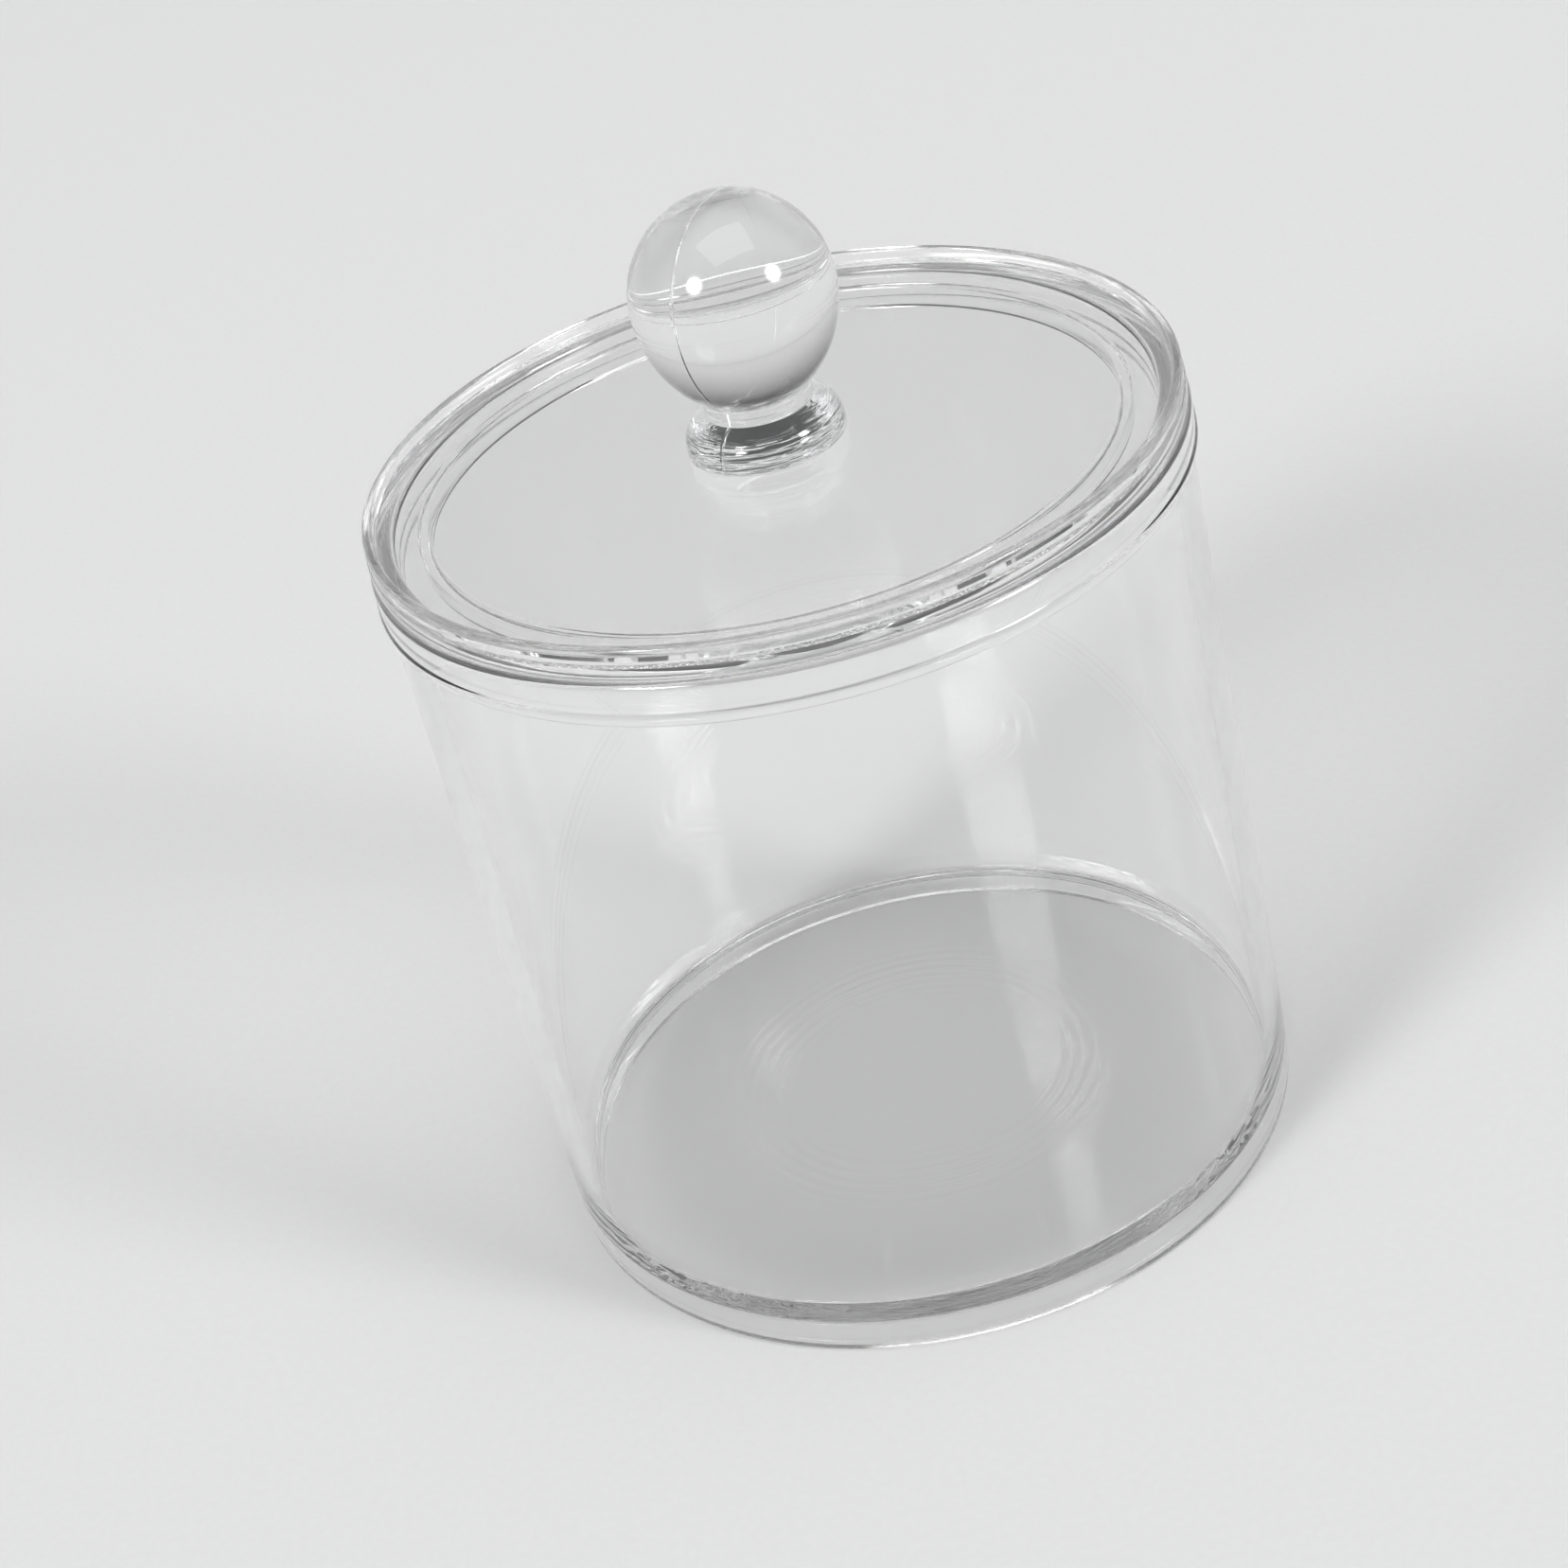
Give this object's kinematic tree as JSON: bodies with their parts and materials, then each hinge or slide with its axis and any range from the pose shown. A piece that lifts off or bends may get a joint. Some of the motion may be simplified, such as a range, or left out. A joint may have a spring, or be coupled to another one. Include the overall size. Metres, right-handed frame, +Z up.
{
  "type": "cotton pad holder",
  "caption": "Round clear plastic jar with an open-topped body and a loose lift-off lid with a ball knob, for keeping cotton pads.",
  "frame": {"origin": "middle of the face that the jar stands on", "axes": "+Z up along the jar's axis; the jar is round, so X and Y are free"},
  "size_m": [0.1012, 0.1012, 0.1339],
  "materials": {
    "jar": "clear polished plastic",
    "lid": "clear polished plastic",
    "knob": "clear polished plastic"
  },
  "bodies": {
    "jar": {"jar": "jar"},
    "lid": {"lid": "lid", "knob": "knob"}
  },
  "joints": [
    {"name": "lid_lift", "type": "slide", "parent": "jar", "child": "lid", "axis": [0, 0, 1], "range_m": [0, 0.04]}
  ]
}
